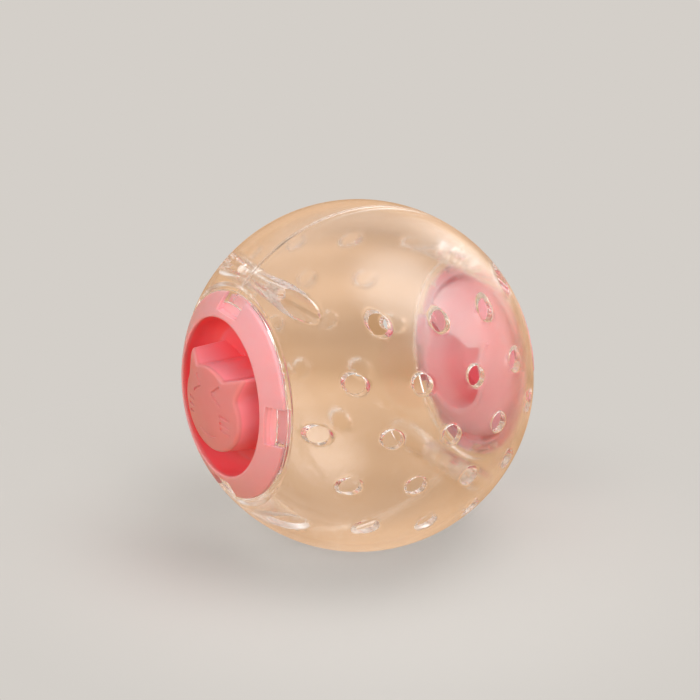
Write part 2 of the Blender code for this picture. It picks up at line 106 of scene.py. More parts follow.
LUG_TOP_BALL = INNER_RADIUS - GAP
LUG_BOTTOM_BALL = LUG_TOP_BALL - LUG_THICKNESS
LUG_HALF_ANGLE = math.asin(LUG_WIDTH / 2 / LUG_RADIUS)
LUG_ANGLES = [2 * math.pi * index / LUG_COUNT for index in range(LUG_COUNT)]
# From a door's own frame, with X right, Y up and Z out of the ball, to its end of the ball.
LEFT_DOOR = Euler((math.radians(90.0), 0.0, math.radians(-90.0))).to_matrix().to_4x4()
RIGHT_DOOR = Euler((math.radians(90.0), 0.0, math.radians(90.0))).to_matrix().to_4x4()
print("seat radius in mm:", round(SEAT_RADIUS * 1000, 2), "lug radius:", round(LUG_RADIUS * 1000, 2))

# %% [markdown]
# ## Tools for turning, lofting and cutting
# Moulded plastic is mostly turned and drilled shapes. A section spun about an axis gives the walls, rings
# of points bridged into a solid give drills that follow the ball, and Booleans join and cut them. Each
# Boolean is applied at once, so every finished piece is one plain mesh.

# %% Working solids
MERGE = 0.000002


def working(bm, name):
    """A closed working solid, to be joined to a piece or cut from it."""
    bmesh.ops.remove_doubles(bm, verts=bm.verts, dist=MERGE)
    bmesh.ops.recalc_face_normals(bm, faces=bm.faces)
    mesh = bpy.data.meshes.new(name)
    bm.to_mesh(mesh)
    bm.free()
    obj = bpy.data.objects.new(name, mesh)
    bpy.context.scene.collection.objects.link(obj)
    return obj


def shape(target, tool, operation):
    """Join, cut or intersect two working solids, and use the tool up."""
    boolean = target.modifiers.new(operation, "BOOLEAN")
    boolean.operation = operation
    boolean.solver = "EXACT"
    boolean.object = tool
    bpy.context.view_layer.update()
    graph = bpy.context.evaluated_depsgraph_get()
    shaped = bpy.data.meshes.new_from_object(target.evaluated_get(graph))
    target.modifiers.clear()
    target.data = shaped
    bpy.data.objects.remove(tool)
    return target


def spun(section, axis, steps, soft=None):
    """Turn a closed section of (radius, height) points about an axis. soft rounds the corners it names."""
    bm = bmesh.new()
    side = Vector((0.0, 0.0, 1.0)) if axis.z == 0 else Vector((1.0, 0.0, 0.0))
    verts = [bm.verts.new(side * radius + axis * height) for radius, height in section]
    bm.faces.new(verts)
    for index, rounding in (soft or {}).items():
        bmesh.ops.bevel(bm, geom=[verts[index]], offset=rounding, affect="VERTICES",
                        segments=4, profile=0.5, material=-1)
    bmesh.ops.delete(bm, geom=bm.faces[:], context="FACES_ONLY")
    on_axis = [edge for edge in bm.edges if all((vert.co - axis * vert.co.dot(axis)).length < MERGE
                                                for vert in edge.verts)]
    bmesh.ops.delete(bm, geom=on_axis, context="EDGES")
    bmesh.ops.spin(bm, geom=bm.verts[:] + bm.edges[:], cent=(0.0, 0.0, 0.0), axis=axis,
                   angle=2 * math.pi, steps=steps, use_merge=True)
    return bm


def ball_arc(radius, start, end, steps):
    """(radius, height) points on a circle about the centre, by angle from the door axis."""
    angles = [start + (end - start) * step / steps for step in range(steps + 1)]
    return [(radius * math.sin(angle), radius * math.cos(angle)) for angle in angles]


def on_ball(radius):
    """A rule for a drill's ring: its depth on a ball about the centre."""
    return lambda x, z: math.sqrt(radius**2 - x * x - z * z)


def at_depth(y):
    """A rule for a drill's ring: the same depth all round."""
    return lambda x, z: y


def bridge(bm, loops):
    """Skin a row of edge loops and cap both ends."""
    for lower, upper in zip(loops, loops[1:]):
        bmesh.ops.bridge_loops(bm, edges=lower + upper)
    bmesh.ops.edgeloop_fill(bm, edges=loops[0])
    bmesh.ops.edgeloop_fill(bm, edges=loops[-1])


def add_drill(bm, x, z, rings, segments):
    """Loft circles along Y. Each ring has a radius and a rule that gives its depth at every point."""
    loops = []
    for radius, reach in rings:
        verts = bmesh.ops.create_circle(bm, segments=segments, radius=radius)["verts"]
        for vert in verts:
            across, up = vert.co.x + x, vert.co.y + z
            vert.co = (across, reach(across, up), up)
        loops.append(list(dict.fromkeys(edge for vert in verts for edge in vert.link_edges)))
    bridge(bm, loops)


X_AXIS = Vector((1.0, 0.0, 0.0))
Y_AXIS = Vector((0.0, 1.0, 0.0))
Z_AXIS = Vector((0.0, 0.0, 1.0))
print("tools ready")

# %% [markdown]
# ## The wall of the ball
# Both halves come from one turned wall, because they are moulded to the same ball. Its section runs from
# one door seat over the outside to the other, and back along the inside. The seat's steps are rounded a
# little, because those small edges draw the pair of bright lines round each door.

# %% Turned wall
WALL_STEPS = 192
ARC_STEPS = 60
FLOOR_STEPS = 6
SEAT_ROUND = 0.00025


def seat_section():
    """From the flange's edge along the seat's floor, up its wall, and over the ledge and bevel."""
    ledge_ball = BALL_RADIUS - LEDGE_DEPTH
    ledge_outer = SEAT_RADIUS + LEDGE_WIDTH
    start, end = (math.asin(radius / SEAT_BALL) for radius in (FLANGE_INNER, SEAT_RADIUS))
    floor = ball_arc(SEAT_BALL, start, end, FLOOR_STEPS)
    return floor + [(SEAT_RADIUS, height_on(ledge_ball, SEAT_RADIUS)),
                    (ledge_outer, height_on(ledge_ball, ledge_outer))]


def ball_wall():
    """The whole wall with both seats. The section is drawn for one end and mirrored for the other."""
    opening = math.asin(RIM_RADIUS / BALL_RADIUS)
    inner_opening = math.asin(FLANGE_INNER / INNER_RADIUS)
    outside = ball_arc(BALL_RADIUS, opening, math.pi - opening, ARC_STEPS)
    inside = ball_arc(INNER_RADIUS, math.pi - inner_opening, inner_opening, ARC_STEPS)
    seat = seat_section()
    half = inside[ARC_STEPS // 2:] + seat + outside[:ARC_STEPS // 2]
    flange_edge = ARC_STEPS // 2
    seat_wall = flange_edge + 1 + FLOOR_STEPS
    corners = [flange_edge, flange_edge + 1, *range(seat_wall, seat_wall + 4)]
    other_half = [(radius, -height) for radius, height in reversed(half[1:])]
    section = half + [outside[ARC_STEPS // 2]] + other_half
    last = len(section)
    soft = dict.fromkeys(corners + [last - corner for corner in corners], SEAT_ROUND)
    return working(spun(section, X_AXIS, WALL_STEPS, soft), "ball wall")


wall = ball_wall()
print("wall faces:", len(wall.data.polygons))

# %% [markdown]
# ## Tubes, twist stops and gates
# Four tubes cross the seam beside the doors and hold the halves together. They could be plain cylinders,
# but the real ones widen from the seam to their mouths so that they leave the mould. Under each seat
# flange, short ribs stop the door's lugs, and gaps in the flange let the lugs out.

# %% Tubes and seat details
TUBE_DEPTH = 0.0060
TUBE_FROM_CENTRE = BALL_RADIUS - TUBE_DEPTH
TUBE_SEAM_RADIUS = 0.0038
TUBE_MOUTH_RADIUS = 0.0049
TUBE_SPARE = 0.0001
rim_angle = math.asin(RIM_RADIUS / BALL_RADIUS)
TUBE_ANGLE = rim_angle + math.asin((TUBE_MOUTH_RADIUS + TUBE_SPARE) / TUBE_FROM_CENTRE)
TUBE_WALL = 0.0011
PIN_BORE = 0.0025
PIN_GRIP = 0.0090
RIM_STEPS = 48
HOLE_ROUND = 0.00045
BACK_ROUND = 0.00030
FLARE_PAST = 0.065
ROUND_ANGLES = [math.radians(angle) for angle in (20.0, 43.0, 66.0, 90.0)]
LUG_PLAY = 0.0008

tube_x = TUBE_FROM_CENTRE * math.cos(TUBE_ANGLE)
tube_z = TUBE_FROM_CENTRE * math.sin(TUBE_ANGLE)
TUBES = {
    "upper_left": (-tube_x, tube_z),
    "lower_left": (-tube_x, -tube_z),
    "upper_right": (tube_x, tube_z),
    "lower_right": (tube_x, -tube_z),
}


def mirrored(rings):
    """The same rings on the far side of the seam, in the order that continues the loft."""
    return [(radius, lambda x, z, reach=reach: -reach(x, z)) for radius, reach in reversed(rings)]


def outer_rim(radius, rounding):
    """Rings of a drill where it breaks through the outside: a flare that leaves a rounded rim."""
    flare = [(radius + rounding, on_ball(BALL_RADIUS + FLARE_PAST * rounding))]
    for angle in ROUND_ANGLES:
        ring = radius + rounding * (1 - math.sin(angle))
        flare.append((ring, on_ball(BALL_RADIUS - rounding * (1 - math.cos(angle)))))
    return [(radius + rounding, on_ball(FAR))] + flare


def inner_rim(radius, rounding):
    """Rings of a drill where it breaks through the inside."""
    flare = []
    for angle in reversed(ROUND_ANGLES):
        ring = radius + rounding * (1 - math.sin(angle))
        flare.append((ring, on_ball(INNER_RADIUS + rounding * (1 - math.cos(angle)))))
    flare.append((radius + rounding, on_ball(INNER_RADIUS - FLARE_PAST * rounding)))
    return flare + [(radius + rounding, on_ball(INNER_RADIUS - WALL))]


def tube_solids():
    rings = [(TUBE_MOUTH_RADIUS, on_ball(BALL_RADIUS - WALL / 4)), (TUBE_SEAM_RADIUS, at_depth(GAP))]
    bm = bmesh.new()
    for x, z in TUBES.values():
        add_drill(bm, x, z, rings + mirrored(rings), RIM_STEPS)
    return working(bm, "tubes")


def tube_bores():
    growth = (TUBE_MOUTH_RADIUS - TUBE_SEAM_RADIUS) / height_on(BALL_RADIUS, TUBE_FROM_CENTRE)
    shoulder = TUBE_SEAM_RADIUS + growth * PIN_GRIP - TUBE_WALL
    rings = outer_rim(TUBE_MOUTH_RADIUS - TUBE_WALL, HOLE_ROUND)
    rings += [(shoulder, at_depth(PIN_GRIP)), (PIN_BORE, at_depth(PIN_GRIP))]
    bm = bmesh.new()
    for x, z in TUBES.values():
        add_drill(bm, x, z, rings + mirrored(rings), RIM_STEPS)
    return working(bm, "bores")


def lug_bars(name, inner, outer, top_ball, bottom_ball, start, end, doors):
    """Short bars that follow the ball, one at each lug's angle, for each of the doors given."""
    corners = ((inner, bottom_ball), (outer, bottom_ball), (outer, top_ball), (inner, top_ball))
    bm = bmesh.new()
    for door in doors:
        for angle in LUG_ANGLES:
            verts = [bm.verts.new((radius, 0.0, height_on(ball, radius))) for radius, ball in corners]
            bmesh.ops.spin(bm, geom=[bm.faces.new(verts)], cent=(0.0, 0.0, 0.0), axis=Z_AXIS,
                           angle=end - start, steps=LUG_STEPS)
            fresh = [vert for vert in bm.verts if not vert.tag]
            bmesh.ops.transform(bm, matrix=door @ Matrix.Rotation(angle + start, 4, "Z"), verts=fresh)
            for vert in fresh:
                vert.tag = True
    return working(bm, name)


def lug_gates():
    half = LUG_HALF_ANGLE + LUG_PLAY / LUG_RADIUS
    return lug_bars("gates", FLANGE_INNER - GAP, LUG_RADIUS + GAP, SEAT_BALL + GAP, INNER_RADIUS - GAP,
                    TWIST - half, TWIST + half, (LEFT_DOOR, RIGHT_DOOR))


def twist_stops():
    spare = GAP / LUG_RADIUS
    start = TWIST + LUG_HALF_ANGLE + LUG_PLAY / LUG_RADIUS + spare
    end = 2 * math.pi / LUG_COUNT - LUG_HALF_ANGLE - spare
    mid_flange = (SEAT_BALL + INNER_RADIUS) / 2
    return lug_bars("stops", FLANGE_INNER + GAP, LUG_RADIUS, mid_flange, LUG_BOTTOM_BALL,
                    start, end, (LEFT_DOOR, RIGHT_DOOR))


shape(wall, tube_solids(), "UNION")
shape(wall, twist_stops(), "UNION")
shape(wall, tube_bores(), "DIFFERENCE")
shape(wall, lug_gates(), "DIFFERENCE")
print("wall with tubes and seats:", len(wall.data.polygons), "faces")

# %% [markdown]
# ## Treat holes
# The holes lie in a hexagonal field on each half and are drilled straight along the mould's pull, so they
# lean more and more on the ball's flanks. A straight cylinder would leave knife edges. Each drill flares
# along the ball's own surface instead, outside and inside, which rounds both rims evenly.

# %% Treat holes
HOLE_RADIUS = 0.00325
HOLE_RINGS = 2
HOLE_WEB = 0.0036
HOLE_PITCH = (height_on(BALL_RADIUS, RIM_RADIUS + HOLE_WEB) - HOLE_RADIUS) / HOLE_RINGS


def hole_centres():
    """Places of the holes in one half, row by row."""
    row_pitch = HOLE_PITCH * math.sqrt(3) / 2
    for row in range(-HOLE_RINGS, HOLE_RINGS + 1):
        count = 2 * HOLE_RINGS + 1 - abs(row)
        for index in range(count):
            yield (index - (count - 1) / 2) * HOLE_PITCH, row * row_pitch


def treat_drills():
    rings = outer_rim(HOLE_RADIUS, HOLE_ROUND) + inner_rim(HOLE_RADIUS, BACK_ROUND)
    bm = bmesh.new()
    for x, z in hole_centres():
        add_drill(bm, x, z, rings, RIM_STEPS)
        add_drill(bm, x, z, mirrored(rings), RIM_STEPS)
    return working(bm, "drills")


shape(wall, treat_drills(), "DIFFERENCE")
print("treat holes:", 2 * len(list(hole_centres())), "wall faces:", len(wall.data.polygons))

# %% [markdown]
# ## Parting the wall into two halves
# The halves meet in a lap joint: the front half's tongue slides under the rear half's lip. A stepped
# block with that section parts the wall. Its outer corner slopes back, which leaves the fine groove that
# shows as a bright line over the top of the ball. The halves close more tightly here than the solids do,
# because a wide gap would show as a dark band in the clear wall.

# %% Two half shells
TONGUE = 0.0020
GROOVE = 0.00035
SEAM_GAP = 0.00006


def seam_block(name, face_at, tongue_radius, tongue_end, slope):
    """A turned block up to the seam, stepped for the tongue, with an outer corner that slopes back."""
    section = [
        (0.0, tongue_end),
        (tongue_radius, tongue_end),
        (tongue_radius, face_at),
        (BALL_RADIUS - GROOVE, face_at),
        (FAR, face_at - slope * (FAR - BALL_RADIUS + GROOVE)),
        (FAR, -FAR),
        (0.0, -FAR),
    ]
    return working(spun(section, Y_AXIS, WALL_STEPS), name)


def copy_of(obj):
    twin = bpy.data.objects.new(obj.name, obj.data.copy())
    bpy.context.scene.collection.objects.link(twin)
    return twin


mid_wall = BALL_RADIUS - WALL / 2
front_shell = wall
rear_shell = copy_of(wall)
half_gap = SEAM_GAP / 2
front_block = seam_block("front block", -half_gap, mid_wall - half_gap, TONGUE, 1.0)
rear_block = seam_block("rear block", half_gap, mid_wall + half_gap, TONGUE + SEAM_GAP, -1.0)
shape(front_shell, front_block, "INTERSECT")
shape(rear_shell, rear_block, "DIFFERENCE")
print("front faces:", len(front_shell.data.polygons), "rear faces:", len(rear_shell.data.polygons))

# %% [markdown]
# ## The pink door: bowl, ring and skirt
# Each door is one moulding. It is drawn in a frame of its own, with X to the right as seen from outside,
# Y up and Z out of the ball, and moved to its end when it is finished. The bowl's section is a rounded
# square, deep and steep, and the ring lies flush with the ball.

# %% Door body
DOOR_STEPS = 160
BOWL_STEPS = 24
RING_STEPS = 10
RING_WIDTH = 0.0071
RIM_ROUND = 0.0010
EDGE_ROUND = 0.00030
BOWL_DEPTH = 0.0125
BOWL_SQUARENESS = 3.0
DISH_RIM = RING_OUTER - RING_WIDTH
BOWL_RADIUS = DISH_RIM - RIM_ROUND
BOWL_TOP = height_on(BALL_RADIUS, DISH_RIM) - RIM_ROUND
BOWL_FLOOR = BOWL_TOP - BOWL_DEPTH
SKIRT_BOTTOM = height_on(LUG_BOTTOM_BALL, SKIRT_OUTER) - GAP


def bowl_arc(half_width, depth):
    """The bowl's section from its rim down to the door axis."""
    points = []
    for step in range(BOWL_STEPS):
        angle = math.pi / 2 * step / BOWL_STEPS
        radius = half_width * math.cos(angle) ** (2 / BOWL_SQUARENESS)
        points.append((radius, BOWL_TOP - depth * math.sin(angle) ** (2 / BOWL_SQUARENESS)))
    return points + [(0.0, BOWL_TOP - depth)]


def door_body():
    ring_start, ring_end = (math.asin(radius / BALL_RADIUS) for radius in (DISH_RIM + GAP, RING_OUTER))
    under = BALL_RADIUS - RING_THICKNESS
    back_radius = BOWL_RADIUS + DOOR_WALL
    back_top = height_on(under, back_radius)
    skirt_inner = SKIRT_OUTER - SKIRT_WALL
    front = bowl_arc(BOWL_RADIUS, BOWL_DEPTH)[::-1]
    rim = [(BOWL_RADIUS, height_on(BALL_RADIUS, BOWL_RADIUS))]
    ring = ball_arc(BALL_RADIUS, ring_start, ring_end, RING_STEPS)
    skirt = [
        (RING_OUTER, height_on(under, RING_OUTER)),
        (SKIRT_OUTER, height_on(under, SKIRT_OUTER)),
        (SKIRT_OUTER, SKIRT_BOTTOM),
        (skirt_inner, SKIRT_BOTTOM),
        (skirt_inner, height_on(under, skirt_inner)),
        (back_radius, back_top),
    ]
    back = [point for point in bowl_arc(back_radius, BOWL_DEPTH + DOOR_WALL) if point[1] < back_top]
    rim_at = len(front)
    outer_at = rim_at + len(ring)
    soft = {rim_at: RIM_ROUND}
    soft.update({outer_at + corner: EDGE_ROUND for corner in (0, 1, 3, 4)})
    return working(spun(front + rim + ring + skirt + back, Z_AXIS, DOOR_STEPS, soft), "door")


door = door_body()
print("door body faces:", len(door.data.polygons))

# %% [markdown]
# ## The cat-head grip
# The grip is a plain cat head, drawn out along the door axis with a little draft. Its face follows a ball
# a little smaller than the toy, so it never stands proud when the toy rolls. An outline is drawn once
# with arcs, then lofted: the base, the rounded edge in steps, and the face in shrinking rings on that
# ball.

# %% Cat-head outline
FINGER_ROOM = 0.0097
HEAD_WIDTH = DISH_RIM - FINGER_ROOM
HEAD_HEIGHT = 0.795 * HEAD_WIDTH
HEAD_DROP = 0.20 * HEAD_WIDTH
EAR_ACROSS = 1.01 * HEAD_WIDTH
EAR_UP = 0.69 * HEAD_WIDTH
EAR_ROUND = 0.0008
WAIST_ROUND = 0.0040
CROWN_ROUND = 0.0030
EAR_OUTER_BASE = math.radians(32.0)
EAR_INNER_BASE = math.radians(60.0)
CHEEK_STEPS = 28
CROWN_STEPS = 12
CHEEK_TRIM = 2
CROWN_TRIM = 3
CORNER_STEPS = 6


def rounded_corner(before, corner, after, radius):
    """Points of the arc that rounds a corner of an outline."""
    to_before = (before - corner).normalized()
    to_after = (after - corner).normalized()
    half = to_before.angle(to_after) / 2
    centre = corner + (to_before + to_after).normalized() * radius / math.sin(half)
    start = corner + to_before * radius / math.tan(half) - centre
    end = corner + to_after * radius / math.tan(half) - centre
    first = math.atan2(start.y, start.x)
    sweep = math.remainder(math.atan2(end.y, end.x) - first, 2 * math.pi)
    angles = [first + sweep * step / CORNER_STEPS for step in range(CORNER_STEPS + 1)]
    return [centre + radius * Vector((math.cos(angle), math.sin(angle))) for angle in angles]


def head_arc(start, end, steps, inset):
    angles = [start + (end - start) * step / steps for step in range(steps + 1)]
    return [Vector(((HEAD_WIDTH - inset) * math.cos(angle),
                    (HEAD_HEIGHT - inset) * math.sin(angle) - HEAD_DROP)) for angle in angles]


def cat_outline(inset):
    """The head seen from outside, from the chin up its right side and down its left.

    The cheek and the crown are trimmed beside the ear, to make room for its rounded corners.
    """
    cheek = head_arc(-math.pi / 2, EAR_OUTER_BASE, CHEEK_STEPS, inset)
    crown = head_arc(EAR_INNER_BASE, math.pi / 2, CROWN_STEPS, inset)
    waist, base = cheek[-1], crown[0]
    cheek, crown = cheek[:-CHEEK_TRIM], crown[CROWN_TRIM:]
    tip = Vector((EAR_ACROSS, EAR_UP))
    inward = ((waist - tip).normalized() + (base - tip).normalized()).normalized()
    tip += inward * inset / math.sin(inward.angle(base - tip))
    ear = rounded_corner(cheek[-1], waist, tip, WAIST_ROUND)
    ear += rounded_corner(waist, tip, base, EAR_ROUND)
    ear += rounded_corner(tip, base, crown[0], CROWN_ROUND)
    right = cheek + ear + crown
    left = [Vector((-point.x, point.y)) for point in reversed(right[1:-1])]
    return right + left


print("outline points:", len(cat_outline(0.0)))

# %% Grip and its hollow
FACE_RECESS = 0.0010
FACE_RADIUS = BALL_RADIUS - FACE_RECESS
GRIP_DRAFT = math.radians(2.0)
GRIP_ROUND = 0.0010
FACE_RINGS = 12


def add_ring(bm, points):
    verts = [bm.verts.new(point) for point in points]
    return [bm.edges.new(ends) for ends in zip(verts, verts[1:] + verts[:1])]


def lifted(outline, radius, drop):
    """Points of a flat outline set on a ball, and then dropped along the door axis."""
    return [(point.x, point.y, math.sqrt(radius**2 - point.length_squared) - drop) for point in outline]


def cat_head(name, inset, face_radius, bottom, rounding):
    """A solid head with drafted sides, a rounded edge and a face that follows a ball."""
    spread = (face_radius - bottom) * math.tan(GRIP_DRAFT)
    rings = [[(point.x, point.y, bottom) for point in cat_outline(inset - spread)]]
    for step in range(CORNER_STEPS):
        angle = math.pi / 2 * step / CORNER_STEPS
        outline = cat_outline(inset + rounding * (1 - math.cos(angle)))
        rings.append(lifted(outline, face_radius, rounding * (1 - math.sin(angle))))
    middle = Vector((0.0, -HEAD_DROP))
    for ring in range(FACE_RINGS):
        share = 1 - ring / FACE_RINGS
        outline = [middle + (point - middle) * share for point in cat_outline(inset + rounding)]
        rings.append(lifted(outline, face_radius, 0.0))
    bm = bmesh.new()
    bridge(bm, [add_ring(bm, ring) for ring in rings])
    return working(bm, name)


grip = cat_head("grip", 0.0, FACE_RADIUS, BOWL_FLOOR - DOOR_WALL / 2, GRIP_ROUND)
hollow_bottom = BOWL_FLOOR - 2 * DOOR_WALL
hollow = cat_head("hollow", DOOR_WALL, FACE_RADIUS - DOOR_WALL, hollow_bottom, GRIP_ROUND / 2)
shape(door, grip, "UNION")
print("door with grip:", len(door.data.polygons), "faces")

# %% [markdown]
# ## Windows, lugs and the hollow
# A lug can only leave its mould through a window in the ring above it, which is why the ring has four
# pockets. Each pocket gets a floor between the bowl and the skirt, so treats can't get out that way.

# %% Windows and lugs
WINDOW_WIDTH = 0.0130
WINDOW_RIM = 0.0009
WINDOW_DEPTH = 0.0022
BALL_SEGMENTS = 160


def radial_boxes(name, inner, width):
    bm = bmesh.new()
    for angle in LUG_ANGLES:
        size = Matrix.Diagonal((FAR - inner, width, FAR, 1.0))
        place = Matrix.Translation(((FAR + inner) / 2, 0.0, FAR / 2))
        bmesh.ops.create_cube(bm, size=1.0, matrix=Matrix.Rotation(angle, 4, "Z") @ place @ size)
    return working(bm, name)


def window_floors():
    bowl_wall = BOWL_RADIUS + DOOR_WALL / 2
    upper = BALL_RADIUS - RING_THICKNESS / 2
    lower = BALL_RADIUS - WINDOW_DEPTH - DOOR_WALL
    section = [(bowl_wall, height_on(upper, bowl_wall)), (SKIRT_MIDDLE, height_on(upper, SKIRT_MIDDLE)),
               (SKIRT_MIDDLE, height_on(lower, SKIRT_MIDDLE)), (bowl_wall, height_on(lower, bowl_wall))]
    bm = spun(section, Z_AXIS, DOOR_STEPS)
    bmesh.ops.rotate(bm, verts=bm.verts, matrix=Matrix.Rotation(math.pi / DOOR_STEPS, 3, "Z"))
    limits = radial_boxes("floor limits", bowl_wall / 2, WINDOW_WIDTH + 2 * DOOR_WALL)
    return shape(working(bm, "window floors"), limits, "INTERSECT")


def window_cutters():
    bm = bmesh.new()
    bmesh.ops.create_uvsphere(bm, u_segments=BALL_SEGMENTS, v_segments=BALL_SEGMENTS // 2,
                              radius=BALL_RADIUS - WINDOW_DEPTH)
    cutters = radial_boxes("windows", DISH_RIM + WINDOW_RIM, WINDOW_WIDTH)
    return shape(cutters, working(bm, "window floor ball"), "DIFFERENCE")


def lugs():
    return lug_bars("lugs", SKIRT_MIDDLE, LUG_RADIUS, LUG_TOP_BALL, LUG_BOTTOM_BALL,
                    -LUG_HALF_ANGLE, LUG_HALF_ANGLE, (Matrix.Identity(4),))


shape(door, window_floors(), "UNION")
shape(door, lugs(), "UNION")
shape(door, hollow, "DIFFERENCE")
shape(door, window_cutters(), "DIFFERENCE")
print("door with windows and lugs:", len(door.data.polygons), "faces")

# %% [markdown]
# ## The engraved face
# Two folded eyes, three whiskers on each cheek and a small mouth are sunk into the face. They could be a
# bump in the material, but a real groove catches light on one side only, as the moulded one does. Each
# stroke is a short tube laid on the face's ball and cut out of it.

# %% Engraved strokes
EYE_STROKE = 0.00056
WHISKER_STROKE = 0.00058
MOUTH_STROKE = 0.00042
STROKE_LIFT = 0.00002
STROKE_STEPS = 8
EYE_NOSE_END = Vector((0.0038, 0.0033))
EYE_UPPER_END = Vector((0.0079, 0.0066))
EYE_LOWER_END = Vector((0.0092, 0.0003))
WHISKER_INNER = 0.0089
WHISKER_OUTER = 0.0138
WHISKER_RISE = (-0.0030, -0.0053, -0.0074)
WHISKER_FAN = (-0.0003, -0.0007, -0.0012)
MOUTH_HALF = 0.0056
MOUTH_CORNER = -0.0114
MOUTH_SAG = 0.0011


def straight(start, end):
    return [start.lerp(end, step / STROKE_STEPS) for step in range(STROKE_STEPS + 1)]


def flipped(points):
    return [Vector((-point.x, point.y)) for point in points]


def strokes_mesh(strokes):
    """Tubes along strokes on the face, each given as its points and its radius."""
    bm = bmesh.new()
    for points, radius in strokes:
        curve = bpy.data.curves.new("stroke", "CURVE")
        curve.dimensions = "3D"
        curve.bevel_depth = radius
        curve.bevel_resolution = 3
        curve.use_fill_caps = True
        spline = curve.splines.new("POLY")
        spline.points.add(len(points) - 1)
        for spot, place in zip(spline.points, lifted(points, FACE_RADIUS + STROKE_LIFT, 0.0)):
            spot.co = (*place, 1.0)
        drawn = bpy.data.objects.new("stroke", curve)
        bpy.context.scene.collection.objects.link(drawn)
        bpy.context.view_layer.update()
        graph = bpy.context.evaluated_depsgraph_get()
        bm.from_mesh(bpy.data.meshes.new_from_object(drawn.evaluated_get(graph)))
        bpy.data.objects.remove(drawn)
    return working(bm, "strokes")


def face_strokes():
    """Two sets of strokes. An eye's two strokes meet, so they are cut one after the other."""
    upper = straight(EYE_NOSE_END, EYE_UPPER_END)
    lower = straight(EYE_NOSE_END, EYE_LOWER_END)
    first = [(upper, EYE_STROKE), (flipped(upper), EYE_STROKE)]
    second = [(lower, EYE_STROKE), (flipped(lower), EYE_STROKE)]
    for rise, fan in zip(WHISKER_RISE, WHISKER_FAN):
        whisker = straight(Vector((WHISKER_INNER, rise)), Vector((WHISKER_OUTER, rise + fan)))
        first += [(whisker, WHISKER_STROKE), (flipped(whisker), WHISKER_STROKE)]
    shares = [step / STROKE_STEPS - 1 for step in range(2 * STROKE_STEPS + 1)]
    mouth = [Vector((MOUTH_HALF * share, MOUTH_CORNER - MOUTH_SAG * (1 - share**2))) for share in shares]
    first.append((mouth, MOUTH_STROKE))
    return first, second


for strokes in face_strokes():
    shape(door, strokes_mesh(strokes), "DIFFERENCE")
print("engraved door:", len(door.data.polygons), "faces")

# %% [markdown]
# ## Snap pins
# A split pin sits in each tube. Its two barbed heads close as they are pushed through the narrow bore,
# and spring open behind the shoulders. The slot that lets them close is cut straight through each head.

# %% Snap pins
PIN_STEPS = 48
PIN_HEAD_LENGTH = 0.0030
PIN_HEAD = 0.0028
PIN_TIP = 0.0018
PIN_ROUND = 0.0002
SLOT_WIDTH = 0.0010
SLOT_LENGTH = 0.0070


def snap_pin(name, x, z):
    shank = PIN_BORE - GAP
    barb = PIN_GRIP + GAP
    tip = barb + PIN_HEAD_LENGTH
    half = [
        (0.0, tip),
        (PIN_TIP, tip),
        (PIN_HEAD, barb + PIN_HEAD_LENGTH / 3),
        (PIN_HEAD, barb),
        (shank, barb),
    ]
    section = half + [(radius, -height) for radius, height in reversed(half)]
    soft = {index: PIN_ROUND for index in (1, 2, 3, 6, 7, 8)}
    pin = working(spun(section, Y_AXIS, PIN_STEPS, soft), name)
    bm = bmesh.new()
    for side in (-1, 1):
        size = Matrix.Diagonal((4 * PIN_HEAD, 2 * SLOT_LENGTH, SLOT_WIDTH, 1.0))
        bmesh.ops.create_cube(bm, size=1.0, matrix=Matrix.Translation((0.0, side * tip, 0.0)) @ size)
    shape(pin, working(bm, "slots"), "DIFFERENCE")
    pin.data.transform(Matrix.Translation((x, 0.0, z)))
    return pin


pins = {corner: snap_pin("pin " + corner, x, z) for corner, (x, z) in TUBES.items()}
print("pins:", len(pins))

# %% [markdown]
# ## A moulded surface, shared by all plastics
# No moulded face is perfectly even: it has a long, faint ripple from the mould and soft marks from
# handling. Both are worked out once, in a node group, and every plastic below uses them at its own scale.
# A few helpers come first, since all materials are built from the same small steps.

# %% Node helpers
def add_node(tree, kind, **settings):
    node = tree.nodes.new(kind)
    for name, value in settings.items():
        setattr(node, name, value)
    return node


def share_between(tree, value, start, end):
    """0 up to the start and 1 from the end, with a soft change between."""
    share = add_node(tree, "ShaderNodeMapRange", interpolation_type="SMOOTHSTEP")
    share.inputs["From Min"].default_value = start
    share.inputs["From Max"].default_value = end
    tree.links.new(value, share.inputs["Value"])
    return share.outputs["Result"]


def mixed(tree, share, first, second):
    """A colour between two, each given as a colour or as the output of a node."""
    mix = add_node(tree, "ShaderNodeMix", data_type="RGBA")
    tree.links.new(share, mix.inputs["Factor"])
    for name, colour in (("A", first), ("B", second)):
        if isinstance(colour, tuple):
            mix.inputs[name].default_value = (*colour, 1.0)
        else:
            tree.links.new(colour, mix.inputs[name])
    return mix.outputs["Result"]


def joined(tree, operation, first, second):
    """One number from two, by a Math node."""
    node = add_node(tree, "ShaderNodeMath", operation=operation)
    tree.links.new(first, node.inputs[0])
    tree.links.new(second, node.inputs[1])
    return node.outputs["Value"]


def moved(tree, operation, vector, by=None):
    """A vector after one Vector Math step."""
    node = add_node(tree, "ShaderNodeVectorMath", operation=operation)
    tree.links.new(vector, node.inputs[0])
    if by:
        node.inputs[1].default_value = by
    return node.outputs["Vector"]


def length_of(tree, vector):
    node = add_node(tree, "ShaderNodeVectorMath", operation="LENGTH")
    tree.links.new(vector, node.inputs[0])
    return node.outputs["Value"]


def object_place(tree):
    return add_node(tree, "ShaderNodeTexCoord").outputs["Object"]


print("node helpers ready")

# %% Moulded surface group
MARKS_FROM = 0.45
MARKS_TO = 0.75


